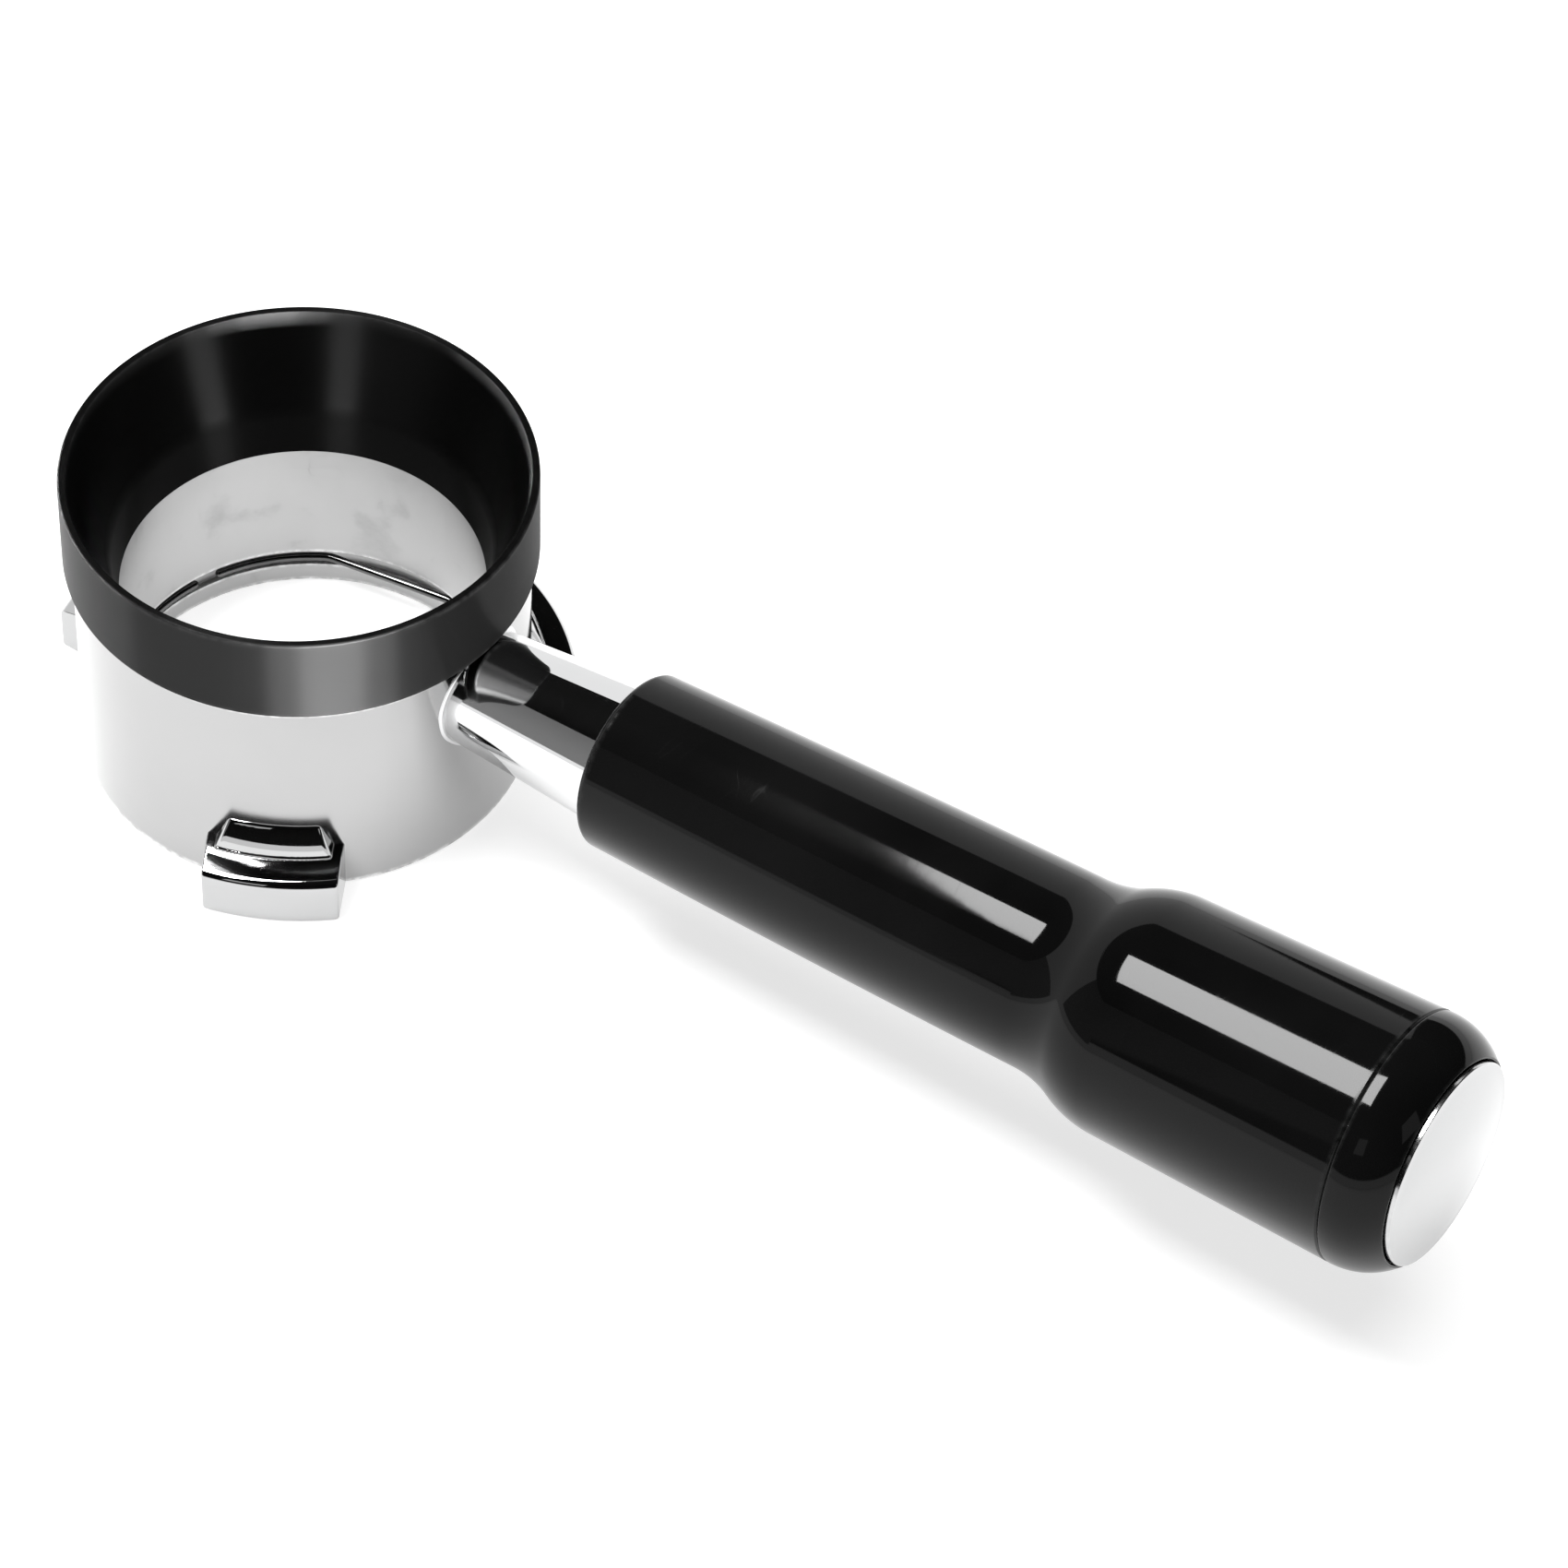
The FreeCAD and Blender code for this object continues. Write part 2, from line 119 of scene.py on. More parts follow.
# Spring, in millimetres and degrees: wire, the ring that it follows, and its straight runs
WIRE_RADIUS = 0.6
WIRE_HEIGHT = 4.95
SPRING_RADIUS = 26.9
RUN_DISTANCE = 25.1
RUN_BEND = 4.0
RUN_AZIMUTHS = (100.0, -20.0, -140.0)
SPRING_ENDS = (155.6, -195.6)

# Fineness of the meshes
AROUND = 256
ROD_AROUND = 64
THREAD_STEPS = 14


# ---- profiles ----

def circle_through(start, via, end):
    """Centre and radius of the circle through three points."""
    (ax, ay), (bx, by), (cx, cy) = start, via, end
    d = 2 * (ax * (by - cy) + bx * (cy - ay) + cx * (ay - by))
    a2, b2, c2 = ax * ax + ay * ay, bx * bx + by * by, cx * cx + cy * cy
    ux = (a2 * (by - cy) + b2 * (cy - ay) + c2 * (ay - by)) / d
    uy = (a2 * (cx - bx) + b2 * (ax - cx) + c2 * (bx - ax)) / d
    return (ux, uy), math.hypot(ax - ux, ay - uy)


def arc(start, via, end, steps):
    """Points after start on the arc from start by way of via to end."""
    (ax, ay), (bx, by), (cx, cy) = start, via, end
    (ux, uy), radius = circle_through(start, via, end)
    first = math.atan2(ay - uy, ax - ux)
    turn = math.tau if (bx - ax) * (cy - by) - (by - ay) * (cx - bx) > 0 else -math.tau
    sweep = math.fmod(math.atan2(cy - uy, cx - ux) - first + 2 * turn, math.tau)
    points = []
    for i in range(1, steps + 1):
        angle = first + sweep * i / steps
        points.append((ux + radius * math.cos(angle), uy + radius * math.sin(angle)))
    return points


def eased(corners, ease=0.12, open_ends=False, loop_gap=0.5, smooth_below=14, step=15):
    """Profile rows (point, normal, wear) with every corner rounded.

    A point is (radius, along), and a corner may carry its own rounding as a third number.
    """
    points = [Vector(c[:2]) for c in corners]
    radii = [c[2] if len(c) > 2 else ease for c in corners]
    count = len(points)
    area = sum(points[i - 1].x * points[i].y - points[i].x * points[i - 1].y for i in range(count))
    side = 1 if area > 0 else -1
    rows = []

    def normal(direction):
        return Vector((direction.y, -direction.x)) * side

    for i, point in enumerate(points):
        if open_ends and i in (0, count - 1):
            edge = points[1] - points[0] if i == 0 else points[-1] - points[-2]
            rows.append((point, normal(edge.normalized()), 0.0))
            continue
        before, after = point - points[i - 1], points[(i + 1) % count] - point
        a, b = before.normalized(), after.normalized()
        turn = a.angle(b)
        if turn < math.radians(smooth_below):
            rows.append((point, normal((a + b).normalized()), 0.0))
            continue
        room = 0.45 * min(before.length, after.length) / math.tan(turn / 2)
        radius = min(radii[i], room)
        reach = radius * math.tan(turn / 2)
        convex = (a.x * b.y - a.y * b.x) * side > 0
        sign = 1 if a.x * b.y - a.y * b.x > 0 else -1
        centre = point - a * reach + Vector((-a.y, a.x)) * radius * sign
        steps = max(2, round(math.degrees(turn) / step))
        if before.length - reach > 3 * loop_gap:
            rows.append((point - a * (reach + loop_gap), normal(a), 0.0))
        for k in range(steps + 1):
            angle = turn * k / steps * sign
            spoke = Matrix.Rotation(angle, 2) @ (point - a * reach - centre)
            direction = Matrix.Rotation(angle, 2) @ a
            rows.append((centre + spoke, normal(direction), 1.0 if convex else 0.0))
        if after.length - reach > 3 * loop_gap:
            rows.append((point + b * (reach + loop_gap), normal(b), 0.0))
    return rows


def threaded(rows, radius, low, high, depth):
    """Rows with a helical thread in the wall at a radius, between two heights.

    Depth above 0 cuts outwards, into a bore; below 0 it cuts inwards, into a shaft.
    """
    fine = THREAD_PITCH / THREAD_STEPS
    made = []
    for i, row in enumerate(rows):
        made.append((*row, 0.0))
        here, there = row[0], rows[(i + 1) % len(rows)][0]
        on_wall = abs(here.x - radius) < 1e-3 and abs(there.x - radius) < 1e-3
        if not on_wall or abs(there.y - here.y) < THREAD_PITCH:
            continue
        steps = round(abs(there.y - here.y) / fine)
        for k in range(1, steps):
            at = here.lerp(there, k / steps)
            fade = min(1.0, max(0.0, min(at.y - low, high - at.y) / THREAD_PITCH))
            made.append((at, row[1], 0.0, depth * fade))
    return made


def groove(turns):
    """Share of a thread's depth at a place in its turn: flat crest, sloping flanks, narrow root."""
    crest, flank = 0.2, 0.65
    share = abs(turns % 1.0 - 0.5) * 2
    return min(1.0, max(0.0, (share - crest) / flank))


# ---- meshes ----

def lathe(name, rows, axis="Z", closed=True, around=AROUND):
    """Mesh of revolution with exact normals and a wear attribute.

    It turns about Z, or about X for the pieces in the handle's own frame.
    """
    verts, normals, wear, rings = [], [], [], []
    for row in rows:
        (radius, along), slope, worn = row[0], row[1], row[2]
        cut = row[3] if len(row) > 3 else 0.0
        ring = []
        for k in range(1 if radius < 1e-6 else around):
            angle = math.tau * k / around
            r = radius + (cut * groove(along / THREAD_PITCH - k / around) if cut else 0.0)
            out = Vector((math.cos(angle), math.sin(angle)))
            if axis == "Z":
                verts.append((r * out.x * MM, r * out.y * MM, along * MM))
                normals.append(Vector((out.x * slope.x, out.y * slope.x, slope.y)))
            else:
                verts.append((along * MM, r * out.x * MM, r * out.y * MM))
                normals.append(Vector((slope.y, out.x * slope.x, out.y * slope.x)))
            wear.append(worn)
            ring.append(len(verts) - 1)
        rings.append(ring)
    faces = []
    for i in range(len(rings) if closed else len(rings) - 1):
        low, high = rings[i], rings[(i + 1) % len(rings)]
        for k in range(around):
            quad = [low[k % len(low)], low[(k + 1) % len(low)],
                    high[(k + 1) % len(high)], high[k % len(high)]]
            quad = list(dict.fromkeys(quad))
            if len(quad) > 2:
                faces.append(quad)
    mesh = bpy.data.meshes.new(name)
    mesh.from_pydata(verts, [], faces)
    mesh.update()
    test = mesh.polygons[len(mesh.polygons) // 3]
    if test.normal.dot(normals[test.vertices[0]]) < 0:
        mesh.flip_normals()
    mesh.shade_smooth()
    if any(len(row) > 3 for row in rows):
        for row, ring in zip(rows, rings):
            if row[3]:
                for v in ring:
                    normals[v] = mesh.vertices[v].normal.copy()
    mesh.normals_split_custom_set_from_vertices(normals)
    mesh.attributes.new("wear", "FLOAT", "POINT").data.foreach_set("value", wear)
    return mesh


def piece(name, mesh, material, body, stands_for, place=None):
    """Object that rides on a body, has a finish slot, and stands for a CAD node."""
    made = bpy.data.objects.new(name, mesh)
    bpy.context.scene.collection.objects.link(made)
    mesh.materials.clear()
    mesh.materials.append(material)
    if place is not None:
        made.matrix_world = place
    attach(made, body)
    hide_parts(stands_for)


def body_mesh():
    """Cup with a rim bore, the spring's groove, and a threaded seat at the top."""
    thread_low, thread_high = 28.0, 33.4
    corners = [
        (RIM_BORE_RADIUS, 0, 0.3), (BODY_RADIUS, 0, 0.4),
        (BODY_RADIUS, BODY_HEIGHT, 0.35), (SEAT_RADIUS, BODY_HEIGHT, 0.3),
        (SEAT_RADIUS, SEAT_FLOOR, 0.1), (BORE_RADIUS, SEAT_FLOOR, 0.35),
        (BORE_RADIUS, GROOVE_TOP, 0.15), (GROOVE_RADIUS, GROOVE_TOP, 0.2),
        (GROOVE_RADIUS, GROOVE_FOOT, 0.2), (RIM_BORE_RADIUS, GROOVE_FOOT, 0.15),
    ]
    rows = threaded(eased(corners), SEAT_RADIUS, thread_low, thread_high, THREAD_DEPTH)
    return lathe("body_shell_turned", rows)


def ring_mesh():
    """Ring with a conical mouth that curves into its throat, over a threaded sleeve."""
    thread_low, thread_high = 28.2, 34.4
    cone_foot = (26.8, 36.0)
    corners = [
        (25.1, SLEEVE_FOOT, 0.18), (SLEEVE_RADIUS, SLEEVE_FOOT, 0.4),
        (SLEEVE_RADIUS, RING_SHOULDER, 0.2), (RING_RADIUS, RING_SHOULDER, 0.35),
        (RING_RADIUS, RING_TOP, 0.35), (31.4, RING_TOP, 0.16),
        cone_foot, *arc(cone_foot, (26.2, 34.5), (25.9, 33.0), 10),
    ]
    rows = threaded(eased(corners), SLEEVE_RADIUS, thread_low, thread_high, -THREAD_DEPTH)
    return lathe("outlet_ring_turned", rows)


def grip_mesh():
    """Barrel, two equal arcs up to the swell, and inside the sockets for collar, nut and arm."""
    (thin, barrel_end), (thick, swell_start) = BARREL_END, SWELL_START
    rise, run = thick - thin, swell_start - barrel_end
    bend = math.atan2(rise, run)
    radius = run / (2 * math.sin(2 * bend))
    across, up = radius * math.sin(bend), radius * (1 - math.cos(bend))
    middle = (thin + rise / 2, barrel_end + run / 2)
    corners = [
        (10.45, GRIP_START, 0.2), (12.6, GRIP_START, 1.6), BARREL_START,
        *arc(BARREL_START, BARREL_MIDDLE, BARREL_END, 12),
        *arc(BARREL_END, (thin + up, barrel_end + across), middle, 14),
        *arc(middle, (thick - up, swell_start - across), SWELL_START, 14),
        (17.7, 174.15, 0.2), (17.45, SEAM, 0.1), (SOCKET_RADIUS, SEAM),
        (SOCKET_RADIUS, SOCKET_FLOOR), (NUT_BORE_RADIUS, SOCKET_FLOOR),
        (NUT_BORE_RADIUS, NUT_BORE_FLOOR), (4.6, NUT_BORE_FLOOR),
        (4.6, 80.0), (6.95, 80.0), (6.95, 57.5), (10.45, 57.5),
    ]
    return lathe("grip_turned", eased(corners), axis="X")


def collar_mesh():
    """Rounded end of the handle, with a spigot in the grip and a recess for the cap."""
    shoulder = (17.7, 174.65)
    end, recess, step = 182.1, 180.4, 172.0
    corners = [
        (SOCKET_RADIUS, SOCKET_FLOOR), (SOCKET_RADIUS, SEAM), (17.45, SEAM, 0.1), (*shoulder, 0.2),
        *arc(shoulder, (16.7, 179.3), (14.65, end), 18),
        (14.35, end, 0.12), (14.35, recess), (6.4, recess), (6.4, step),
        (NUT_BORE_RADIUS, step), (NUT_BORE_RADIUS, SOCKET_FLOOR),
    ]
    return lathe("end_collar_turned", eased(corners), axis="X")


def cap_mesh():
    """Disc with a low spherical crown, on a plain stem."""
    crown_radius, crown, tip, steps = 13.8, 0.9, 183.7, 12
    stem_radius, disc_radius, stem_end, disc_back = 5.0, 14.15, 172.0, 180.45
    sphere = (crown_radius ** 2 + crown ** 2) / (2 * crown)
    dome = []
    for i in range(steps + 1):
        angle = math.asin(crown_radius / sphere) * (1 - i / steps)
        dome.append((sphere * math.sin(angle), tip - sphere * (1 - math.cos(angle))))
    corners = [
        (0.0, stem_end), (stem_radius, stem_end, 0.5), (stem_radius, disc_back),
        (disc_radius, disc_back), (disc_radius, 182.8, 0.45), *dome,
    ]
    return lathe("end_cap_turned", eased(corners, open_ends=True), axis="X", closed=False)


def rod_mesh():
    """Rod threaded from end to end."""
    thread_low, thread_high = 64.6, 160.4
    corners = [
        (0.0, ROD_START), (ROD_RADIUS, ROD_START, 0.5), (ROD_RADIUS, ROD_END, 0.5), (0.0, ROD_END),
    ]
    rows = eased(corners, open_ends=True)
    rows = threaded(rows, ROD_RADIUS, thread_low, thread_high, -ROD_THREAD_DEPTH)
    return lathe("tie_rod_turned", rows, axis="X", closed=False, around=ROD_AROUND)


def smooth_max(a, b, reach):
    """Larger of two fields, blended into a fillet about as wide as reach."""
    share = np.clip(0.5 + 0.5 * (a - b) / reach, 0, 1)
    return b + (a - b) * share + reach * share * (1 - share)


def leaning(a, b, share_a, share_b):
    """Distance to the plane through a = b = 0 whose normal has these shares of a and b."""
    return (a * share_a + b * share_b) / math.hypot(share_a, share_b)


def lug_field(points):
    """Signed distance, roughly, to a lug's surface, in millimetres; the lug points along +X."""
    x, y, z = points[..., 0], np.abs(points[..., 1]), points[..., 2]
    radius = np.hypot(points[..., 0], points[..., 1])
    back = LUG_ROOT - radius

    # Block: its top falls outwards into the round face, and its outer corners are clipped
    top = smooth_max(leaning(radius - LUG_STEP, z - LUG_SHELF, 1.15, 4.2), z - 8.02, 0.3)
    block = smooth_max(radius - LUG_FACE, top, 1.1)
    block = smooth_max(block, (x + y - LUG_CLIP) / math.sqrt(2), 0.3)
    block = smooth_max(smooth_max(block, y - LUG_HALF_WIDTH, 0.3), -z, 0.35)

    # Tread: a slightly full slope up to the body, narrower towards its top
    centre, full = circle_through((LUG_STEP, LUG_SHELF), (32.72, 10.22), (BODY_RADIUS, TREAD_TOP))
    tread = np.hypot(radius - centre[0], z - centre[1]) - full
    tread = smooth_max(tread, leaning(y - TREAD_HALF_WIDTH, z - LUG_SHELF, 4.2, 1.8), 0.5)
    tread = smooth_max(tread, z - TREAD_TOP, 0.5)
    tread = smooth_max(tread, radius - 33.75, 0.2)
    tread = np.maximum(tread, TREAD_FOOT - z)

    # Bead: a thin roll along the tread's foot
    bead = np.hypot(radius - 33.6, z - 8.06) - 0.24
    bead = smooth_max(bead, y - 7.9, 0.2)
    solid = -smooth_max(-block, -tread, 0.2)
    solid = -smooth_max(-solid, -bead, 0.12)
    return np.maximum(solid, back)


def lug_mesh(name, azimuth, fine=84):
    """Closed mesh of a lug: rays from a point inside it, found where they leave the field."""
    core = np.array((32.2, 0.0, 4.0))
    reach = np.array((5.0, LUG_HALF_WIDTH, 6.0))
    farthest, halvings, gap = 4.0, 32, 0.02
    step = np.tan(np.linspace(-1, 1, fine + 1) * math.pi / 4)
    index, verts, faces = {}, [], []
    for axis in range(3):
        for sign in (-1, 1):
            ids = []
            for a in step:
                for b in step:
                    ray = [0.0, 0.0, 0.0]
                    ray[axis], ray[(axis + 1) % 3], ray[(axis + 2) % 3] = sign, a * sign, b
                    key = tuple(round(v, 6) for v in ray)
                    if key not in index:
                        index[key] = len(verts)
                        verts.append(ray)
                    ids.append(index[key])
            n = fine + 1
            faces += [(ids[i * n + j], ids[(i + 1) * n + j],
                       ids[(i + 1) * n + j + 1], ids[i * n + j + 1])
                      for i in range(fine) for j in range(fine)]
    rays = np.array(verts) * reach
    low, high = np.zeros(len(rays)), np.full(len(rays), farthest)
    for _ in range(halvings):
        mid = (low + high) / 2
        inside = lug_field(core + rays * mid[:, None]) < 0
        low, high = np.where(inside, mid, low), np.where(inside, high, mid)
    points = core + rays * low[:, None]
    slope = np.stack([lug_field(points + gap * e) - lug_field(points - gap * e)
                      for e in np.eye(3)], axis=1)
    slope /= np.linalg.norm(slope, axis=1)[:, None]
    turn = math.radians(azimuth)
    spin = np.array(((math.cos(turn), -math.sin(turn), 0),
                     (math.sin(turn), math.cos(turn), 0), (0, 0, 1)))
    mesh = bpy.data.meshes.new(name)
    mesh.from_pydata((points @ spin.T * MM).tolist(), [], faces)
    mesh.update()
    mesh.shade_smooth()
    normals = slope @ spin.T
    face = mesh.polygons[0]
    if face.normal.dot(Vector(normals[face.vertices[0]])) < 0:
        mesh.flip_normals()
    mesh.normals_split_custom_set_from_vertices(normals.tolist())
    return mesh


def spring_path():
    """Points along the open ring of wire: arcs in the groove, tight bends, straight runs."""
    ring, bend = SPRING_RADIUS, RUN_BEND
    offset = RUN_DISTANCE - bend
    reach = math.sqrt((ring - bend) ** 2 - offset ** 2)
    lean = math.degrees(math.atan2(reach, offset))
    points = []

    def sweep(centre, radius, start, end, pieces):
        for i in range(pieces + 1):
            angle = math.radians(start + (end - start) * i / pieces)
            points.append(Vector((centre[0] + radius * math.cos(angle),
                                  centre[1] + radius * math.sin(angle))))

    position, last = SPRING_ENDS
    for azimuth in RUN_AZIMUTHS:
        sweep((0, 0), ring, position, azimuth + lean, 30)
        for side in (1, -1):
            middle = math.radians(azimuth + side * lean)
            centre = ((ring - bend) * math.cos(middle), (ring - bend) * math.sin(middle))
            ends = (azimuth + lean, azimuth) if side > 0 else (azimuth, azimuth - lean)
            sweep(centre, bend, *ends, 10)
        position = azimuth - lean
    sweep((0, 0), ring, position, last, 16)
    shortest = 0.02
    return [p for i, p in enumerate(points) if i == 0 or (p - points[i - 1]).length > shortest]


def spring_mesh(wire=WIRE_RADIUS, height=WIRE_HEIGHT, sides=24, dome=5):
    """Round wire swept along the spring's path, with domed ends."""
    path = spring_path()
    rings = []
    for i, point in enumerate(path):
        ahead = (path[min(i + 1, len(path) - 1)] - path[max(i - 1, 0)]).normalized()
        rings.append((point, ahead, wire, 0.0))
    first, last = rings[0], rings[-1]
    for k in range(1, dome + 1):
        angle = math.radians(90 / dome * k)
        out, width = wire * math.sin(angle), wire * math.cos(angle)
        rings.insert(0, (first[0] - first[1] * out, first[1], width, -math.sin(angle)))
        rings.append((last[0] + last[1] * out, last[1], width, math.sin(angle)))
    verts, normals, faces = [], [], []
    for point, ahead, width, lean in rings:
        beside = Vector((ahead.y, -ahead.x))
        for k in range(sides):
            angle = math.tau * k / sides
            flat = beside * math.cos(angle)
            place = point + flat * width
            verts.append((place.x * MM, place.y * MM, (height + width * math.sin(angle)) * MM))
            tip = math.sqrt(1 - lean * lean)
            normals.append((flat.x * tip + ahead.x * lean, flat.y * tip + ahead.y * lean,
                            math.sin(angle) * tip))
    for i in range(len(rings) - 1):
        for k in range(sides):
            a, b = i * sides + k, i * sides + (k + 1) % sides
            faces.append((a, b, b + sides, a + sides))
    faces.append(tuple(range(sides))[::-1])
    faces.append(tuple(range(len(verts) - sides, len(verts))))
    mesh = bpy.data.meshes.new("basket_spring_wire")
    mesh.from_pydata(verts, [], faces)
    mesh.update()
    test = mesh.polygons[sides * 20]
    if test.normal.dot(Vector(normals[test.vertices[0]])) < 0:
        mesh.flip_normals()
    mesh.shade_smooth()
    mesh.normals_split_custom_set_from_vertices(normals)
    return mesh


def braze_mesh(width=0.5, around=128, across=8):
    """Concave fillet round the arm's root, closed behind along the joint's corner."""
    axis = ALONG_HANDLE.to_3x3() @ Vector((1, 0, 0))
    side = Vector((0, 1, 0))
    rise = axis.cross(side)
    start = Vector((0, 0, HANDLE_HEIGHT))
    arm_radius, corner_radius, wall = 8.41, 8.42, BODY_RADIUS + 0.01
    ceiling, wall_top, buried = BODY_HEIGHT + 0.28, BODY_HEIGHT - 0.35, 0.2

    def on_arm(radius, from_axis, angle):
        """Place beside the arm's axis where it is this far from the body's axis."""
        spoke = (side * math.cos(angle) + rise * math.sin(angle)) * radius
        low, high = 15.0, 45.0
        for _ in range(40):
            mid = (low + high) / 2
            at = start + axis * mid + spoke
            if math.hypot(at.x, at.y) < from_axis:
                low = mid
            else:
                high = mid
        at.z = min(at.z, ceiling)
        return at

    verts = []
    for k in range(around):
        angle = math.tau * k / around
        swell = width * (1 + 0.12 * math.sin(3 * angle + 0.6) + 0.07 * math.sin(11 * angle))
        on_tube = on_arm(arm_radius, BODY_RADIUS + swell, angle)
        corner = on_arm(corner_radius, wall, angle)
        on_wall = on_arm(corner_radius + swell, wall, angle)
        on_wall.z = min(on_wall.z, wall_top)
        for i in range(across + 1):
            t = i / across
            at = on_tube * (1 - t) ** 2 + corner * (2 * t * (1 - t)) + on_wall * t ** 2
            verts.append(at * MM)
        outwards = Vector((corner.x, corner.y, 0)).normalized()
        verts.append(corner.lerp(on_wall, 0.5) * MM - outwards * buried * MM)
    ring = across + 2
    faces = []
    for k in range(around):
        for i in range(ring):
            a, b = k * ring + i, k * ring + (i + 1) % ring
            c, d = (k + 1) % around * ring + (i + 1) % ring, (k + 1) % around * ring + i
            faces.append((a, b, c, d))
    mesh = bpy.data.meshes.new("neck_braze_fillet")
    mesh.from_pydata(verts, [], faces)
    made = bmesh.new()
    made.from_mesh(mesh)
    bmesh.ops.recalc_face_normals(made, faces=made.faces)
    made.to_mesh(mesh)
    made.free()
    mesh.shade_smooth()
    return mesh


# ---- materials ----

# Anisotropic rotation that stretches highlights across the tool lines
QUARTER_TURN = 0.25


class Finish:
    """Material under construction: a Principled shader and the nodes that feed it."""

    def __init__(self, name, axis="Z", **constants):
        self.material = bpy.data.materials.new(name)
        self.material.use_nodes = True
        self.tree = self.material.node_tree
        self.shader = self.tree.nodes["Principled BSDF"]
        self.set(**constants)
        place = self.add("ShaderNodeTexCoord").outputs["Object"]
        parts = self.add("ShaderNodeSeparateXYZ", Vector=place).outputs
        self.place = place
        order = ("X", "Y", "Z") if axis == "Z" else ("Y", "Z", "X")
        self.across, self.beside, self.along = (parts[n] for n in order)
        flat = self.add("ShaderNodeCombineXYZ", X=self.across, Y=self.beside).outputs[0]
        self.radius = self.add("ShaderNodeVectorMath", "LENGTH", _0=flat).outputs["Value"]

    def add(self, kind, operation=None, **inputs):
        node = self.tree.nodes.new(kind)
        if operation:
            node.operation = operation
        for key, value in inputs.items():
            socket = node.inputs[int(key[1:]) if key.startswith("_") else key.replace("_", " ")]
            if isinstance(value, bpy.types.NodeSocket):
                self.tree.links.new(value, socket)
            else:
                socket.default_value = value
        return node

    def math(self, operation, a, b=0.0, c=0.0):
        return self.add("ShaderNodeMath", operation, _0=a, _1=b, _2=c).outputs[0]

    def set(self, **constants):
        for key, value in constants.items():
            socket = self.shader.inputs[key.replace("_", " ")]
            if isinstance(value, bpy.types.NodeSocket):
                self.tree.links.new(value, socket)
            else:
                socket.default_value = value

    def noise(self, scale, detail=2.0, vector=None, roughness=0.5):
        node = self.add("ShaderNodeTexNoise", Scale=scale, Detail=detail, Roughness=roughness)
        self.tree.links.new(vector or self.place, node.inputs["Vector"])
        return node.outputs[0]

    def spread(self, value, low, high, to_low=0.0, to_high=1.0):
        node = self.add("ShaderNodeMapRange", Value=value, From_Min=low, From_Max=high,
                        To_Min=to_low, To_Max=to_high)
        node.clamp = True
        return node.outputs[0]

    def turned(self, pitch, drift=25.0):
        """Fine lines round the axis; each fades in and out slowly on its way round."""
        along = self.math("MULTIPLY_ADD", self.radius, 0.43, self.along)
        vector = self.add("ShaderNodeCombineXYZ",
                          X=self.math("MULTIPLY", self.across, drift),
                          Y=self.math("MULTIPLY", self.beside, drift),
                          Z=self.math("MULTIPLY", along, 1 / pitch)).outputs[0]
        return self.noise(1.0, 1.5, vector)

    def lathed(self):
        """Highlights stretched by tool lines that run round Z."""
        tangent = self.add("ShaderNodeTangent")
        tangent.direction_type = "RADIAL"
        tangent.axis = "Z"
        self.set(Tangent=tangent.outputs[0])

    def scratches(self, scale, tilt, width=0.012):
        """Sparse hair-thin marks: the zero line of a stretched noise, kept only in patches."""
        node = self.add("ShaderNodeMapping", Vector=self.place)
        node.inputs["Rotation"].default_value = tilt
        node.inputs["Scale"].default_value = (1.0, 0.07, 1.0)
        stretched = self.noise(scale, 0.0, node.outputs[0])
        line = self.math("ABSOLUTE", self.math("SUBTRACT", stretched, 0.5))
        patch = self.spread(self.noise(scale * 0.3, 1.0), 0.56, 0.66)
        return self.math("MULTIPLY", self.spread(line, 0.0, width, 1.0, 0.0), patch)

    def hairlines(self, first, second):
        """Two sets of scratches that cross, each given as (scale, tilt)."""
        return self.math("MAXIMUM", self.scratches(*first), self.scratches(*second))

    def worn(self):
        """Edge wear from the mesh, broken up by noise; 0 where the mesh has none."""
        edge = self.add("ShaderNodeAttribute")
        edge.attribute_name = "wear"
        broken = self.spread(self.noise(900.0, 3.0), 0.3, 0.75)
        return self.math("MULTIPLY", edge.outputs["Fac"], broken)

    def mix(self, share, a, b):
        """Colour a, or b where share is 1."""
        colour_a, colour_b, colour_result = 6, 7, 2
        node = self.add("ShaderNodeMix")
        node.data_type = "RGBA"
        self.tree.links.new(share, node.inputs["Factor"])
        for key, value in ((colour_a, a), (colour_b, b)):
            if isinstance(value, bpy.types.NodeSocket):
                self.tree.links.new(value, node.inputs[key])
            else:
                node.inputs[key].default_value = value
        return node.outputs[colour_result]

    def bump(self, *layers):
        """Stacks (height, distance in millimetres) layers on to the normal."""
        normal = None
        for height, distance in layers:
            node = self.add("ShaderNodeBump", Strength=1.0, Distance=distance * MM, Height=height)
            if normal:
                self.tree.links.new(normal, node.inputs["Normal"])
            normal = node.outputs[0]
        self.set(Normal=normal)


def grey(value, tint=0.0):
    """Colour of one value, a little bluer with tint."""
    return (value * (1 - tint), value, value * (1 + tint), 1.0)


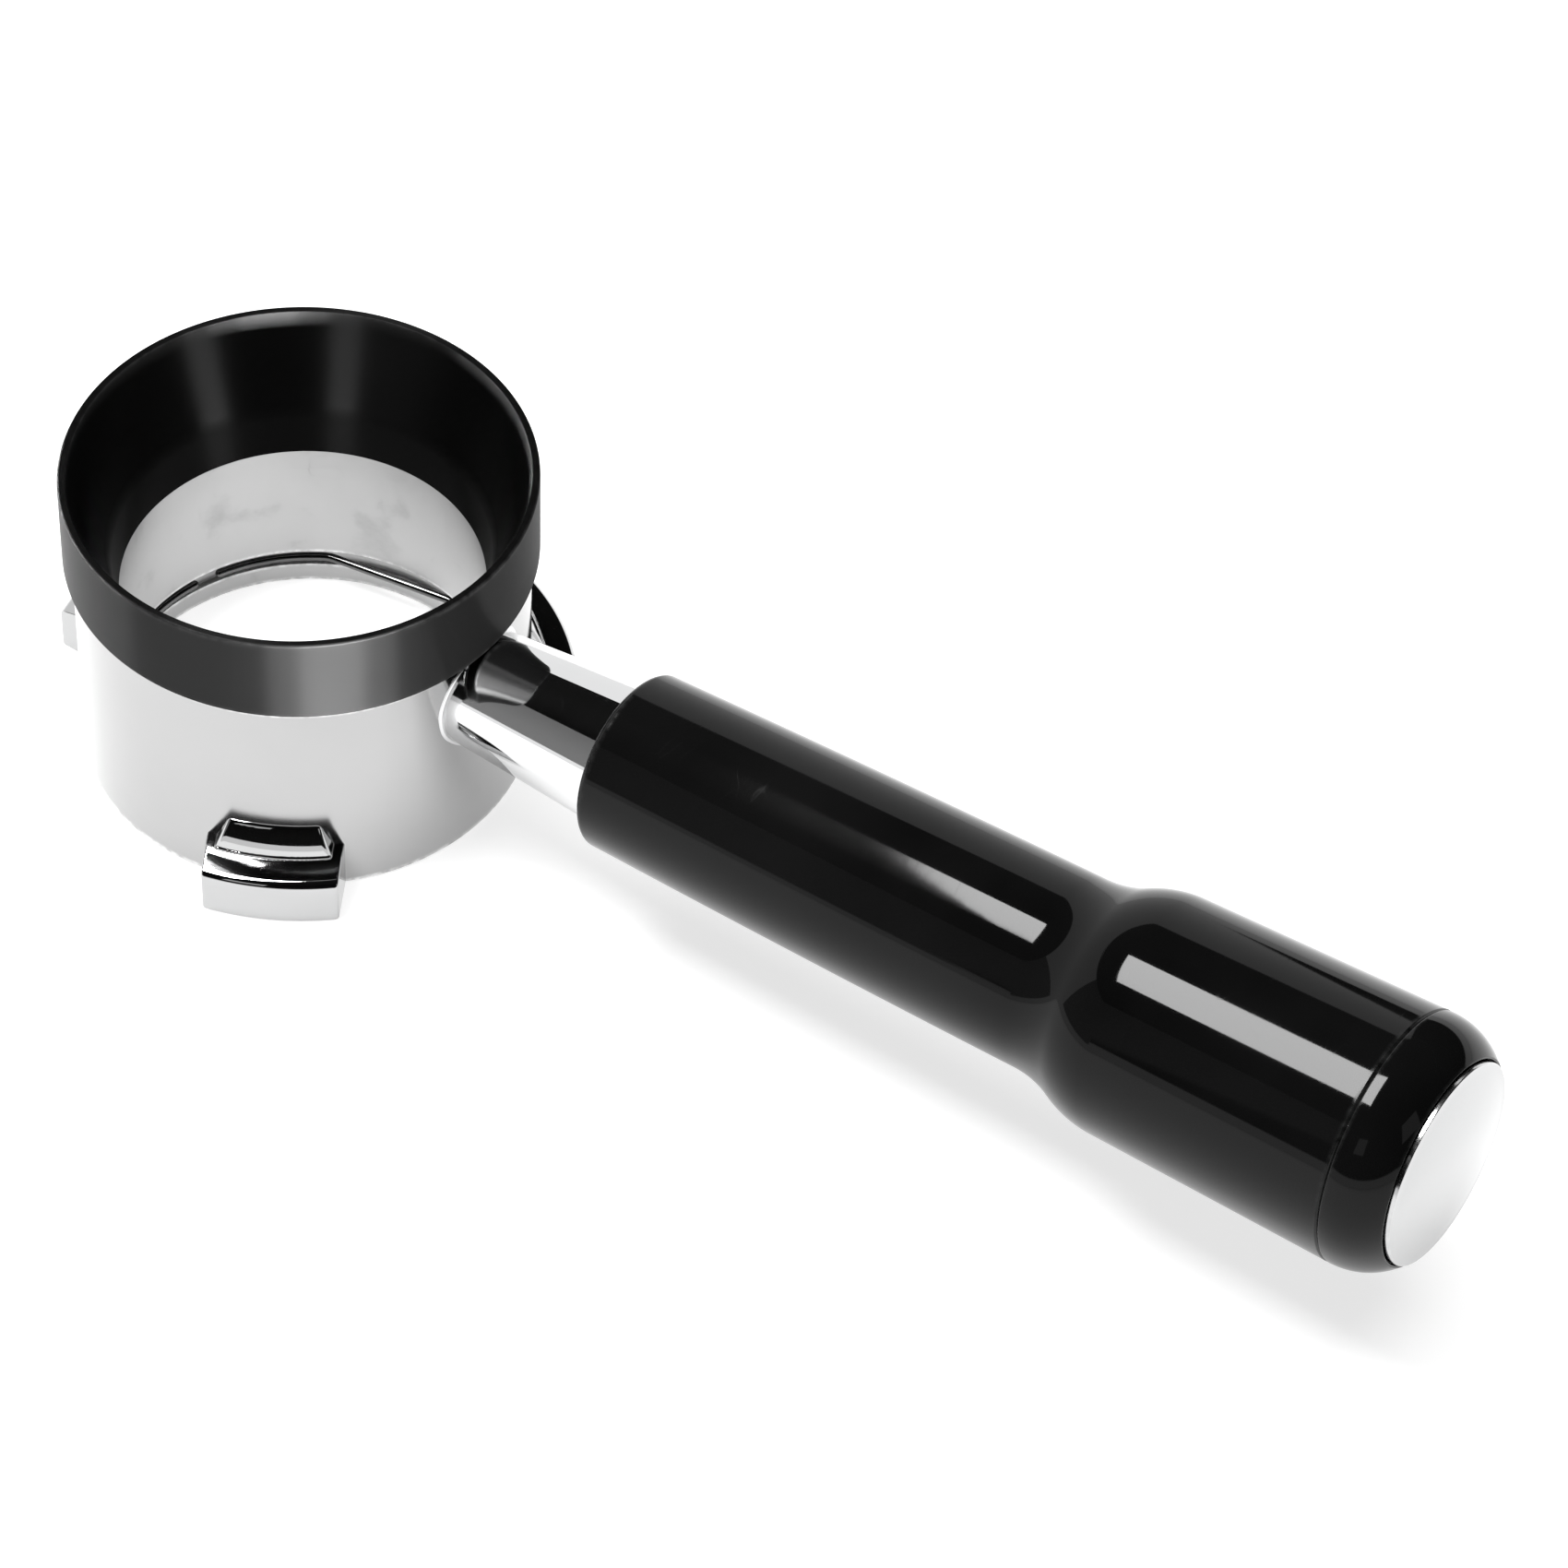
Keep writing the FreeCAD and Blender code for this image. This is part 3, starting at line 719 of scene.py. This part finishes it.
def chrome(name, axis="Z", roughness=(0.03, 0.07), tone=0.78, waviness=0.004, lines=0.0, pitch=0.5):
    """Plated, polished metal: faint waviness, hairlines, and soft clouds of handling."""
    f = Finish(name, axis, Metallic=1.0)
    cloud = f.noise(55.0, 3.0)
    hair = f.hairlines((480.0, (0.3, 0.5, 0.9)), (390.0, (1.1, 0.2, 2.3)))
    worn = f.worn()
    base = f.mix(f.spread(cloud, 0.35, 0.7), grey(tone * 0.96, 0.004), grey(tone, 0.004))
    f.set(Base_Color=f.mix(worn, base, grey(min(0.95, tone * 1.12))))
    rough = f.spread(cloud, 0.35, 0.7, roughness[0], roughness[1])
    rough = f.math("MULTIPLY_ADD", hair, 0.05, rough)
    f.set(Roughness=f.math("MULTIPLY_ADD", worn, 0.1, rough))
    layers = [(f.noise(95.0, 1.0), waviness), (hair, -0.0004)]
    if lines:
        layers.append((f.turned(pitch), lines))
    f.bump(*layers)
    return f.material


def body_chrome():
    """Polished outside; inside its bore and seat the same metal is bright-turned and satin."""
    inside_below = 29.9
    f = Finish("body_chrome", Metallic=1.0, Anisotropic_Rotation=QUARTER_TURN)
    inside = f.math("LESS_THAN", f.radius, inside_below * MM)
    lines = f.turned(0.35)
    coarse = f.turned(1.3, 14.0)
    cloud = f.noise(40.0, 4.0)
    stain = f.spread(f.noise(75.0, 5.0, roughness=0.65), 0.56, 0.72)
    hair = f.hairlines((420.0, (0.3, 0.5, 0.9)), (330.0, (1.1, 0.2, 2.3)))
    worn = f.worn()
    polished = f.mix(f.spread(cloud, 0.3, 0.7), grey(0.365), grey(0.385))
    satin = f.mix(f.spread(coarse, 0.3, 0.7), grey(0.41), grey(0.47))
    satin = f.mix(f.math("MULTIPLY", stain, 0.5), satin, grey(0.33))
    base = f.mix(inside, polished, satin)
    f.set(Base_Color=f.mix(worn, base, grey(0.88)))
    polish = f.spread(cloud, 0.3, 0.7, 0.1, 0.16)
    rough = f.math("MULTIPLY_ADD", inside, 0.22, polish)
    rough = f.math("MULTIPLY_ADD", hair, 0.1, rough)
    f.set(Roughness=f.math("MULTIPLY_ADD", f.math("MULTIPLY", stain, inside), 0.08, rough))
    f.set(Anisotropic=f.math("MULTIPLY", inside, 0.8))
    f.lathed()
    deeper_inside = f.math("MULTIPLY_ADD", inside, 0.9, 0.1)
    height = f.math("MULTIPLY", f.math("ADD", lines, coarse), deeper_inside)
    f.bump((f.noise(80.0, 1.0), 0.003), (height, 0.006), (hair, -0.0006))
    return f.material


def black_anodised():
    """Turned aluminium, anodised black: fine tool lines stretch every highlight across them."""
    f = Finish("black_anodised", IOR=1.11, Anisotropic=1.0, Anisotropic_Rotation=QUARTER_TURN)
    lines = f.turned(0.3)
    coarse = f.turned(1.1, 12.0)
    worn = f.worn()
    cloud = f.noise(60.0, 3.0)
    base = f.mix(f.spread(coarse, 0.3, 0.7), grey(0.0003), grey(0.0006))
    f.set(Base_Color=f.mix(f.math("MULTIPLY", worn, 0.3), base, grey(0.003)))
    uneven = f.math("ADD", cloud, f.math("MULTIPLY", coarse, 0.4))
    f.set(Roughness=f.spread(uneven, 0.4, 1.0, 0.3, 0.36))
    f.lathed()
    f.bump((coarse, 0.003), (lines, 0.002))
    return f.material


def gloss_black(name):
    """Moulded, polished phenolic: a trace of orange peel, faint clouds and a few fine hairlines."""
    f = Finish(name, "X", IOR=1.24)
    cloud = f.noise(38.0, 4.0)
    hair = f.hairlines((420.0, (0.2, 0.4, 1.2)), (350.0, (0.8, 0.1, 2.1)))
    worn = f.worn()
    base = f.mix(f.spread(cloud, 0.3, 0.7), grey(0.0012), grey(0.0026))
    f.set(Base_Color=f.mix(f.math("MULTIPLY", worn, 0.5), base, grey(0.015)))
    rough = f.spread(cloud, 0.3, 0.7, 0.045, 0.075)
    rough = f.math("MULTIPLY_ADD", hair, 0.05, rough)
    f.set(Roughness=f.math("MULTIPLY_ADD", worn, 0.2, rough))
    f.bump((f.noise(240.0, 1.0), 0.0022), (f.noise(900.0, 2.0), 0.0006), (hair, -0.0005))
    return f.material


def rubber():
    """Matt black rubber with a fine grain."""
    f = Finish("rubber", IOR=1.4)
    grain = f.noise(1400.0, 3.0)
    f.set(Base_Color=f.mix(f.noise(120.0, 3.0), grey(0.012), grey(0.028)))
    f.set(Roughness=f.spread(grain, 0.3, 0.7, 0.45, 0.7))
    f.bump((grain, 0.01))
    return f.material


def plain_metal(name, axis, colour, dark, roughness, pitch=0.3):
    """Turned or drawn metal, clouded between two colours and bright where worn."""
    f = Finish(name, axis, Metallic=1.0)
    cloud = f.noise(160.0, 4.0)
    lines = f.turned(pitch)
    worn = f.worn()
    f.set(Base_Color=f.mix(worn, f.mix(f.spread(cloud, 0.35, 0.65), dark, colour), colour))
    uneven = f.math("ADD", cloud, f.math("MULTIPLY", lines, 0.5))
    f.set(Roughness=f.spread(uneven, 0.4, 1.1, roughness[0], roughness[1]))
    f.bump((lines, 0.006), (cloud, 0.004))
    return f.material


# ---- the object ----

def dress():
    """Better shapes for the turned and cast pieces, and a finish for every node."""
    lug_finish = chrome("lug_chrome", roughness=(0.02, 0.05), tone=0.43, waviness=0.003)
    arm_finish = chrome("arm_chrome", "X", roughness=(0.03, 0.06), tone=0.63, waviness=0.006,
                        lines=0.0012)
    cap_finish = chrome("cap_chrome", "X", roughness=(0.08, 0.14), tone=0.42, waviness=0.002,
                        lines=0.0008)
    braze_finish = chrome("braze_chrome", roughness=(0.05, 0.16), tone=0.62, waviness=0.03)
    grip_finish = gloss_black("grip_black")
    seal_finish = rubber()
    steel = plain_metal("zinc_steel", "X", grey(0.6), grey(0.48), (0.25, 0.45))
    wire = plain_metal("spring_steel", "Z", grey(0.13), grey(0.08), (0.08, 0.16), 0.2)
    brass = plain_metal("brass", "X", (0.72, 0.52, 0.24, 1), (0.6, 0.42, 0.18, 1), (0.22, 0.4))

    piece("body_shell_turned", body_mesh(), body_chrome(), "portafilter",
          "body_shell")
    piece("outlet_ring_turned", ring_mesh(), black_anodised(), "ring", "outlet_ring")
    piece("grip_turned", grip_mesh(), grip_finish, "portafilter", "grip",
          ALONG_HANDLE)
    piece("end_collar_turned", collar_mesh(), grip_finish, "portafilter",
          "end_collar", ALONG_HANDLE)
    piece("end_cap_turned", cap_mesh(), cap_finish, "portafilter", "end_cap",
          ALONG_HANDLE)
    piece("tie_rod_threaded", rod_mesh(), steel, "portafilter", "tie_rod", ALONG_HANDLE)
    piece("neck_braze_fillet", braze_mesh(), braze_finish, "portafilter", "neck_braze")
    for node, azimuth in LUG_AZIMUTHS:
        mesh = lug_mesh(node + "_cast", azimuth)
        piece(node + "_cast", mesh, lug_finish, "portafilter", node)
    piece("basket_spring_wire", spring_mesh(), wire, "spring", "basket_spring")
    finishes = {
        "ring_seal": seal_finish, "neck_arm": arm_finish, "arm_bush": brass,
        "anti_turn_pin": steel, "grip_gasket": seal_finish, "tie_washer": steel,
        "lock_washer": steel, "tie_nut": steel, "cap_ring": seal_finish,
    }
    for node, finish in finishes.items():
        NODES[node].data.materials[0] = finish


# ---- the studio ----

def glow(name, colour, strength):
    """Matt stage material that also shines evenly."""
    material = bpy.data.materials.new(name)
    material.use_nodes = True
    shader = material.node_tree.nodes["Principled BSDF"]
    shader.inputs["Base Color"].default_value = grey(colour)
    shader.inputs["Roughness"].default_value = 0.9
    shader.inputs["Specular IOR Level"].default_value = 0.0
    shader.inputs["Emission Color"].default_value = (1, 1, 1, 1)
    shader.inputs["Emission Strength"].default_value = strength
    return material


def stage_mesh(name, verts, faces, material, seen):
    """Mesh that belongs to the studio, seen by the camera or only in reflections."""
    mesh = bpy.data.meshes.new(name)
    mesh.from_pydata(verts, [], faces)
    made = bpy.data.objects.new(name, mesh)
    bpy.context.scene.collection.objects.link(made)
    mesh.materials.append(material)
    made.visible_camera = seen
    return made


def on_flag(angle, height):
    """Point on the cylinder that the flags lie on."""
    return (FLAG_RADIUS * math.cos(angle), FLAG_RADIUS * math.sin(angle), height)


def add_wall(name, start, end, low, high, material):
    """Curved flag round the studio between two azimuths, seen only in reflections."""
    steps = 24
    verts = []
    for i in range(steps + 1):
        angle = math.radians(start + (end - start) * i / steps)
        verts += [on_flag(angle, low), on_flag(angle, high)]
    faces = [(2 * i, 2 * i + 2, 2 * i + 3, 2 * i + 1) for i in range(steps)]
    stage_mesh(name, verts, faces, material, False)


def add_studio():
    """Pale floor, dark flags round and over it, an even world, and the lights."""
    corners = [(x * FLOOR_HALF, y * FLOOR_HALF, FLOOR_LEVEL)
               for x, y in ((-1, -1), (1, -1), (1, 1), (-1, 1))]
    stage_mesh("floor", corners, [(0, 1, 2, 3)], glow("floor", 0.36, 0.72), True)
    black = glow("black_flag", 0.01, 0.0)
    sides = 64
    rim = [on_flag(math.tau * i / sides, FLAG_TOP) for i in range(sides)]
    stage_mesh("flag_top", rim, [tuple(range(sides))], black, False)
    add_wall("flag_front", -112, 35, 0.5, FLAG_TOP, black)
    add_wall("flag_back", 35, 110, 0.5, FLAG_TOP, black)
    add_wall("flag_side", -152, -112, 0.3, FLAG_TOP, glow("grey_flag", 0.1, 0.17))

    world = bpy.data.worlds.new("studio")
    world.use_nodes = True
    background = world.node_tree.nodes["Background"]
    background.inputs["Color"].default_value = (1, 1, 1, 1)
    background.inputs["Strength"].default_value = WORLD_STRENGTH
    bpy.context.scene.world = world

    under_softbox = (SOFTBOX_PLACE[0], SOFTBOX_PLACE[1], 0.0)
    add_light("softbox", SOFTBOX_PLACE, under_softbox, SOFTBOX_SIZE, SOFTBOX_POWER)
    fill = add_light("fill", FILL_PLACE, (0, 0, 0), FILL_SIZE, FILL_POWER)
    fill.visible_glossy = False
    only_ring = bpy.data.collections.new("only_ring")
    only_ring.objects.link(bpy.data.objects["outlet_ring_turned"])
    for name, azimuth, width, low, high, brightness in SIDE_BOXES + RING_BOXES:
        angle = math.radians(azimuth)
        bottom, top = (BOX_DISTANCE * math.tan(math.radians(e)) for e in (low, high))
        middle = (bottom + top) / 2
        place = (BOX_DISTANCE * math.cos(angle), BOX_DISTANCE * math.sin(angle), middle)
        size = (2 * BOX_DISTANCE * math.tan(math.radians(width / 2)), top - bottom)
        power = brightness * math.pi * size[0] * size[1]
        light = add_light(name, place, (0, 0, middle), size, power)
        if name.startswith("ring"):
            light.light_linking.receiver_collection = only_ring


def add_light(name, place, target, size, power):
    """Area light that faces a target and that the camera doesn't see."""
    data = bpy.data.lights.new(name, "AREA")
    data.shape = "RECTANGLE"
    data.size, data.size_y = size
    data.energy = power
    light = bpy.data.objects.new(name, data)
    bpy.context.scene.collection.objects.link(light)
    light.location = place
    light.rotation_mode = "QUATERNION"
    light.rotation_quaternion = (Vector(target) - Vector(place)).to_track_quat("-Z", "Y")
    light.visible_camera = False
    return light


def add_camera():
    """Camera at the constants' place, aimed and then rolled."""
    data = bpy.data.cameras.new("camera")
    data.lens = CAMERA_LENS
    data.sensor_width = CAMERA_SENSOR
    camera = bpy.data.objects.new("camera", data)
    bpy.context.scene.collection.objects.link(camera)
    camera.location = CAMERA_PLACE
    aim = (CAMERA_TARGET - CAMERA_PLACE).to_track_quat("-Z", "Y")
    camera.rotation_mode = "QUATERNION"
    camera.rotation_quaternion = aim @ Quaternion((0, 0, 1), CAMERA_ROLL)
    bpy.context.scene.camera = camera


dress()
add_camera()
add_studio()
bpy.context.scene.view_settings.view_transform = "Standard"
